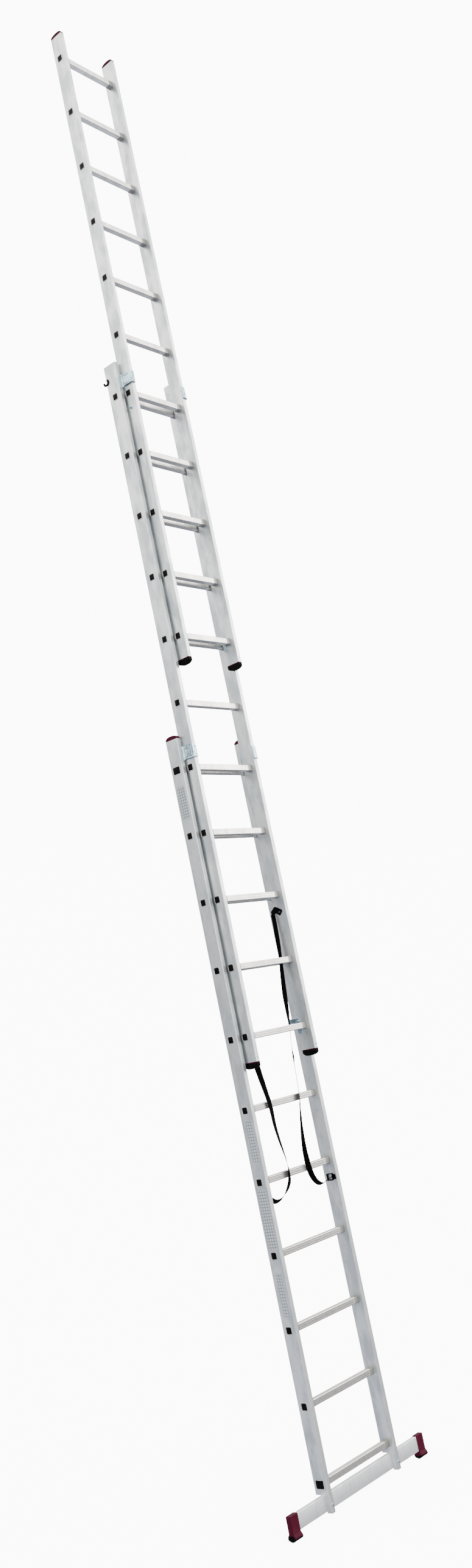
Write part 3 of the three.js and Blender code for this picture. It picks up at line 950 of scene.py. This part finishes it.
PAN_HEAD = [(4.6, -0.5), (4.6, 0.9), (4.1, 1.9), (2.9, 2.6), (1.8, 2.8), (1.5, 1.9), (0.5, 1.8)]
RIVET = [(3.6, -0.3), (3.5, 0.5), (2.6, 1.2), (1.2, 1.5), (0.3, 1.55)]
BOLT = [(5.6, -0.2), (5.6, 0.8), (4.7, 1.0), (4.5, 3.0), (3.8, 3.9), (2.4, 4.2),
        (2.2, 3.2), (0.5, 3.1)]
STOP = [(7.0, 0.0), (7.0, 1.4), (5.4, 1.6), (5.2, 6.0), (4.2, 6.6), (3.2, 6.8),
        (3.0, 10.5), (0.4, 11.0)]

# levels above a section's lowest rung
BAR_BOLT, FLANGE_RIVET, CAP_RIVET, WEB_RIVET, STOP_LEVEL = -72, -82, 2903, 2875, 1051
CATCH_SCREWS = (21.5, -22.5)
# levels above the guide bracket's foot
GUIDE_RIVETS = (14, 46)

screws = {"lower": [], "middle": [], "top": []}
for name in ("middle", "top"):
    section = SECTIONS[name]
    inner = section["half"] - STILE - 0.3 - HOOK_PLATE
    for s in CATCH_SCREWS:
        y = section["front"] + HOOK_START + 7.5
        screws[name].append(turned_head((inner, y, section["base"] + s), "-x", PAN_HEAD))
    flange = (section["half"] - STILE / 2, section["front"], section["base"] + FLANGE_RIVET)
    screws[name].append(turned_head(flange, "-y", RIVET))
flange_x = LOWER["half"] - STILE / 2
screws["lower"].append(turned_head((flange_x, 0, BAR_BOLT), "-y", BOLT))
screws["lower"].append(turned_head((flange_x, 0, CAP_RIVET), "-y", RIVET))
place = (MIDDLE["half"], MIDDLE["front"] + 8, MIDDLE["base"] + WEB_RIVET)
screws["middle"].append(turned_head(place, "x", RIVET))
place = (TOP["half"], TOP["front"] + 35, TOP["base"] + STOP_LEVEL)
screws["top"].append(turned_head(place, "x", STOP))
for name, following in (("lower", "middle"), ("middle", "top")):
    section = SECTIONS[name]
    inner = section["half"] - STILE - 0.5 - SHEET
    for s in GUIDE_RIVETS:
        place = (inner, section["front"] + 30, section["base"] + LAST_RUNG + GUIDE_ABOVE + s)
        screws[name].append(turned_head(place, "-x", RIVET))
for name, bodies in screws.items():
    for side, sign in SIDES.items():
        make(f"{name}_fasteners_{side}", mirrored(joined(bodies), sign), zinc,
             f"{name}_section", "zinc_plate", angle=35)

# %% [markdown]
# The stabiliser bar is a wide flat tube. Its end caps are moulded sleeves that
# flare at the bottom to hold a rubber sole, whose arched underside lets the
# ladder stand at any lean. The caps are prisms of their end outline with
# rounded edges; the bar is a hollow rounded rectangle.

# %% Stabiliser bar
BAR_FRONT, BAR_THICK, BAR_HIGH, BAR_TOP, BAR_HALF = 24.0, 18.0, 58.0, -38.0, 431.0
outer = rounded_rectangle(BAR_THICK, BAR_HIGH, 2.0, 4)
inner = rounded_rectangle(BAR_THICK - 2 * WALL, BAR_HIGH - 2 * WALL, 0.8, 4)
rings = []
for loop, x in ((outer, -BAR_HALF), (outer, BAR_HALF), (inner, BAR_HALF), (inner, -BAR_HALF)):
    y = BAR_FRONT + BAR_THICK / 2 + loop[:, 0]
    s = BAR_TOP - BAR_HIGH / 2 + loop[:, 1]
    rings.append(points_at(x, y, s))
make("stabiliser_bar_tube", solid(np.stack(rings), ends="ring"), bar_metal,
     "lower_section", "bar_aluminium", replaces=["stabiliser_bar"])

FOOT_MIDDLE = BAR_FRONT + BAR_THICK / 2
FOOT_IN, FOOT_OUT = 391, 436
CAP_OUTLINE = [(-11.3, -35.7), (-11.3, -96), (-12.6, -100), (-19.3, -108.6), (-19.3, -113.3),
               (19.3, -113.3), (19.3, -108.6), (12.6, -100), (11.3, -96), (11.3, -35.7)]
SOLE_END_LEVEL, SOLE_END_SIZE = -107.4, (30, 10, 4.6)
SOLE_END = [(1, -1), (1, 0.2), (0.94, 0.5), (0.3, 0.6)]


def sole_outline(steps=24):
    """The cap's width at the top, and a circular arc with its level facet below.

    The arc has radius R = (w**2 + h**2) / (2 h) for half width w and sag h; the
    facet is the arc cut off flat at the lean's angle.
    """
    width, top, edge, sag, flat_half = 19.3, -113.3, -115.5, 9.3, 5.0
    radius = (width**2 + sag**2) / (2 * sag)
    centre = edge - sag + radius
    reach, flat = math.asin(width / radius), math.asin(flat_half / radius)
    turn = np.linspace(-reach, reach, steps)
    turn = np.where(np.abs(turn - LEAN) < flat, np.where(turn < LEAN, LEAN - flat, LEAN + flat), turn)
    arc = np.stack([radius * np.sin(turn), centre - radius * np.cos(turn)], -1)
    keep = np.concatenate([[True], np.linalg.norm(np.diff(arc, axis=0), axis=1) > 0.05])
    return np.concatenate([[(-width, top)], arc[keep], [(width, top)]])


for side, sign in SIDES.items():
    outline = np.array(CAP_OUTLINE) + [FOOT_MIDDLE, 0]
    cap = prism(outline, FOOT_IN, FOOT_OUT, across="x")
    piece = make(f"stabiliser_cap_{side}", mirrored(cap, sign), burgundy, "lower_section",
                 "burgundy_plastic", replaces=[f"stabiliser_foot_{side}"])
    softened(piece, 1.8, 4)
    sole = prism(sole_outline() + [FOOT_MIDDLE, 0], FOOT_IN + 0.4, FOOT_OUT - 0.4, across="x")
    piece = make(f"stabiliser_rubber_sole_{side}", mirrored(sole, sign), rubber, "lower_section",
                 "black_rubber", angle=20, replaces=[f"stabiliser_sole_{side}"])
    centre = (FOOT_MIDDLE, SOLE_END_LEVEL)
    sole_end = plug_dome(centre, FOOT_OUT - 0.2, *SOLE_END_SIZE, SOLE_END)
    make(f"stabiliser_sole_end_{side}", mirrored(sole_end, sign), rubber, "lower_section",
         "black_rubber")

# %% [markdown]
# The straps run through a moulded loop on each lower stile and are sewn to a
# tab inside the middle section. Two small hooks behind the middle section's
# head catch the other half when the ladder is stood as a trestle.

# %% Strap anchors and trestle hooks
# the strap loop's reach in x, y and s, and its wall
LOOP_REACH = (199.5, 207.8, 17, 47, 1037, 1066, 3.2)
FOOT_PLATE, FOOT_PLATE_X = [(4, 1041), (17.5, 1041), (17.5, 1062), (6, 1060)], (205.2, 207.9)
TAB_OUTLINE = [(-33, 2168), (-28, 2174), (0, 2191), (4, 2190), (19, 2173), (19, 2152),
               (16, 2150), (0, 2163), (-13, 2150), (-18, 2152)]
TAB_X, TAB_LEAN, TAB_THICK = 175.8, 0.5, 2.4
EYELET = [(5.4, -0.3), (5.4, 0.8), (4.6, 1.3), (3.4, 1.3), (3.1, 0.6), (0.4, 0.5)]
EYELET_PLACE = (175.6, -17, 2168)
# the trestle hook's bend and wire radii, its thinness, and its place on the web
HOOK_BEND, HOOK_WIRE, HOOK_THIN, HOOK_PROUD, HOOK_LEVEL = 12.5, 5.2, 0.45, 2.4, 2884


def box_loop(x0, x1, y0, y1, s0, s1, wall):
    """A rectangular eye around the strap: an outline with its hole, along x."""
    loop_out = rounded_rectangle(y1 - y0, s1 - s0, 3, 4)
    loop_in = rounded_rectangle(y1 - y0 - 2 * wall, s1 - s0 - 2 * wall, 1.5, 4)
    rings = []
    for loop, x in ((loop_out, x0), (loop_out, x1), (loop_in, x1), (loop_in, x0)):
        rings.append(points_at(x, (y0 + y1) / 2 + loop[:, 0], (s0 + s1) / 2 + loop[:, 1]))
    return solid(np.stack(rings), ends="ring")


def curved_rod(centre_line, radius, thin, sides=14):
    """A rod along points in one plane of constant x, thinner across that plane."""
    line = np.asarray(centre_line, float)
    tangent = np.gradient(line, axis=0)
    tangent /= np.linalg.norm(tangent, axis=1, keepdims=True)
    out = np.cross(tangent, [1, 0, 0])
    turn = np.linspace(0, 2 * math.pi, sides, endpoint=False)
    around = out[:, None] * np.cos(turn)[None, :, None]
    around = around + np.array([thin, 0, 0]) * np.sin(turn)[None, :, None]
    swell = radius * np.ones(len(line))
    swell[0] = swell[-1] = radius * 0.6
    return solid(line[:, None] + around * swell[:, None, None])


turn = np.radians(np.linspace(-190, 50, 24))
hook_line = points_at(0, -HOOK_BEND * np.cos(turn), HOOK_BEND * np.sin(turn))
for side, sign in SIDES.items():
    loop = box_loop(*LOOP_REACH)
    foot_plate = prism(FOOT_PLATE, *FOOT_PLATE_X, across="x")
    piece = make(f"strap_loop_{side}", mirrored(joined([loop, foot_plate]), sign), black_plastic,
                 "lower_section", "black_rubber")
    softened(piece, 0.7, 2)
    tab = prism(TAB_OUTLINE, 0, TAB_THICK, across="x")
    # the tab's rear end leans off the web towards the strap it holds
    tab[0][:, 0] += TAB_X - TAB_LEAN * np.clip(tab[0][:, 1] + 5, 0, None)
    piece = make(f"strap_tab_{side}", mirrored(tab, sign), black_plastic, "middle_section",
                 "black_rubber")
    softened(piece, 0.7, 2)
    eye = turned_head(EYELET_PLACE, "-x", EYELET)
    make(f"strap_eyelet_{side}", mirrored(eye, sign), zinc, "middle_section", "zinc_plate",
         angle=40)
    place = np.array([MIDDLE["half"] + HOOK_PROUD, MIDDLE["front"] + MIDDLE["depth"],
                      MIDDLE["base"] + HOOK_LEVEL])
    rod = curved_rod(hook_line + place, HOOK_WIRE, HOOK_THIN)
    make(f"trestle_hook_{side}", mirrored(rod, sign), black_plastic, "middle_section",
         "black_rubber", angle=45)

# %% [markdown]
# Four plain vinyl labels sit on the left lower stile where a ladder carries
# its notices. They are blank forms: a pale grey film with rounded corners, a
# fine printed border and a faint grid of empty cells.

# %% Labels
CELLS_PER_METRE, SPECKLES_PER_METRE = 85, 260.0
label_film, tree, shader = new_material("vinyl_label_white", Roughness=0.38, IOR=1.5)
border = add(tree, "Attribute", attribute_name="border").outputs["Fac"]
speckle_place = add(tree, "TexCoord").outputs["Object"]
speckle = add(tree, "TexNoise", {"Vector": speckle_place, "Scale": SPECKLES_PER_METRE, "Detail": 3.0})
film_tone = span(tree, speckle.outputs[0], 0.35, 0.7, 0.0, 1.0)
film = blend_colours(tree, film_tone, linear("#aab0b4"), linear("#bfc3c6"))
cell_place = ladder_coordinates(tree, (1, 1, 1))
# a wave has 20 scale / (2 pi) bands a metre
cell_scale = CELLS_PER_METRE * 2 * math.pi / 20
for way in ("Y", "Z"):
    wave = add(tree, "TexWave", {"Vector": cell_place, "Scale": cell_scale}, bands_direction=way)
    rules = span(tree, wave.outputs["Fac"], 0.5, 0.9, 0.0, 0.7)
    film = blend_colours(tree, rules, film, linear("#5f6870"))
colour = blend_colours(tree, border, film, linear("#9aa6b4"))
tree.links.new(colour, shader.inputs["Base Color"])

# each label's reach in y and in s
LABELS = [(12, 55, 2593, 2729), (10, 46, 1198, 1359), (7, 57, 861, 1094), (16, 45, 611, 775)]
# inset, height and border mark of each loop, from the web to the film's middle
LABEL_STEPS = [(0, -0.3, 0), (0, 0.12, 0), (1.4, 0.13, 0), (1.5, 0.13, 1), (2.6, 0.13, 1),
               (2.7, 0.13, 0)]
bodies, borders = [], []
for y0, y1, s0, s1 in LABELS:
    middle = ((y0 + y1) / 2, (s0 + s1) / 2)
    width, height = y1 - y0, s1 - s0
    rings, marks = [], []
    for inset, rise, mark in LABEL_STEPS:
        loop = rounded_rectangle(width - 2 * inset, height - 2 * inset, 3.2, 5)
        x = -(LOWER["half"] + 0.1 + rise)
        rings.append(points_at(x, middle[0] + loop[:, 0], middle[1] + loop[:, 1]))
        marks.append(np.full(len(loop), mark))
    bodies.append(solid(np.stack(rings)))
    borders.append(np.concatenate(marks))
make("blank_labels", joined(bodies), label_film, "lower_section", "stile_aluminium",
     border=np.concatenate(borders))
print("labels:", len(LABELS))

# %% [markdown]
# A plain pale floor and soft studio light. Metal shows what it reflects, so
# the surroundings are bright and dark bands by height, as of screens and gaps
# in a studio. One list of bands is for each way the faces look: the left
# webs, the front flanges and rungs, and the rungs' upper and lower sides. The
# floor is kept out of reflections, as it would be in a cove.

# %% Floor
floor_mesh = bpy.data.meshes.new("floor")
FLOOR_HALF, FLOOR_GLOW = 60, 9.0
corners = [(-FLOOR_HALF, -FLOOR_HALF, 0), (FLOOR_HALF, -FLOOR_HALF, 0),
           (FLOOR_HALF, FLOOR_HALF, 0), (-FLOOR_HALF, FLOOR_HALF, 0)]
floor_mesh.from_pydata(corners, [], [(0, 1, 2, 3)])
floor = bpy.data.objects.new("floor", floor_mesh)
bpy.context.scene.collection.objects.link(floor)
floor_material, tree, shader = new_material("painted_floor_white", Roughness=0.9)
shader.inputs["Base Color"].default_value = linear("#e6e6e6")
shader.inputs["Specular IOR Level"].default_value = 0.1
shader.inputs["Emission Color"].default_value = (1.0, 1.0, 1.0, 1.0)
shader.inputs["Emission Strength"].default_value = FLOOR_GLOW
floor_mesh.materials.append(floor_material)
floor.visible_glossy = False
floor.visible_diffuse = False

# %% Light
world = bpy.data.worlds.new("studio")
bpy.context.scene.world = world
world.use_nodes = True
tree = world.node_tree
tree.nodes.clear()
direction = add(tree, "TexCoord").outputs["Generated"]
across, behind, height = add(tree, "SeparateXYZ", {0: direction}).outputs[:3]


def tone_by_height(tree, height, stops):
    """A tone on straight lines between (height, tone) stops."""
    total = stops[0][1]
    for (low, first), (high, second) in zip(stops, stops[1:]):
        step = span(tree, height, low, high, 0.0, second - first)
        total = add(tree, "Math", {0: total, 1: step}, operation="ADD").outputs[0]
    return total


# the dark and light bands that the webs, the rung fronts and the rung tops reflect
LEFT_TONES = [(-0.9, 1.4), (-0.72, 1.4), (-0.6, 0.2), (-0.5, 0.3), (-0.4, 2.6), (-0.27, 0.25),
              (-0.1, 0.3), (0.0, 0.8), (0.06, 1.2), (0.14, 2.2), (0.28, 3.7), (0.55, 3.6),
              (0.9, 1.8)]
FRONT_TONES = [(-0.9, 1.8), (-0.74, 1.5), (-0.62, 0.15), (-0.3, 0.15), (0.08, 0.15),
               (0.16, 2.6), (0.24, 6.0), (0.34, 8.0), (0.45, 7.4), (0.65, 4.0), (0.85, 2.2)]
REAR_TONES = [(-0.9, 2.6), (-0.76, 2.2), (-0.62, 0.15), (-0.3, 0.3), (-0.14, 1.2),
              (0.1, 1.4), (0.5, 2.2)]
SEEN_STRENGTH = 11.0
left_tone, front_tone, rear_tone = (
    tone_by_height(tree, height, stops) for stops in (LEFT_TONES, FRONT_TONES, REAR_TONES))
to_rear = span(tree, behind, 0.1, 0.4, 0.0, 1.0)
right_sockets = {0: to_rear, 2: front_tone, 3: rear_tone}
right_tone = add(tree, "Mix", right_sockets, data_type="FLOAT").outputs[0]
to_right = span(tree, across, 0.2, 0.55, 0.0, 1.0)
level = add(tree, "Mix", {0: to_right, 2: left_tone, 3: right_tone}, data_type="FLOAT").outputs[0]
warmth = span(tree, height, -0.5, 0.4, 0.0, 1.0)
cool = blend_colours(tree, warmth, linear("#dfe5f8"), linear("#fffdf8"))
seen = add(tree, "LightPath").outputs["Is Camera Ray"]
strength_sockets = {0: seen, 2: level, 3: SEEN_STRENGTH}
strength = add(tree, "Mix", strength_sockets, data_type="FLOAT").outputs[0]
sky = blend_colours(tree, seen, cool, (1.0, 1.0, 1.0, 1.0))
background = add(tree, "Background", {"Color": sky, "Strength": strength})
add(tree, "OutputWorld", {"Surface": background.outputs[0]})


def area_light(name, place, aim, size, power):
    """A square soft light at a place, facing a point, with its power in watts."""
    data = bpy.data.lights.new(name, "AREA")
    data.size = size
    data.energy = power
    light = bpy.data.objects.new(name, data)
    ahead = Vector(aim) - Vector(place)
    light.rotation_euler = ahead.to_track_quat("-Z", "Y").to_euler()
    light.location = place
    bpy.context.scene.collection.objects.link(light)
    return light


KEY_PLACE, KEY_AIM, KEY_SIZE, KEY_WATTS = (4.5, -6.5, 7.0), (0, 0, 3), 4.0, 220
area_light("key_light", KEY_PLACE, KEY_AIM, KEY_SIZE, KEY_WATTS)
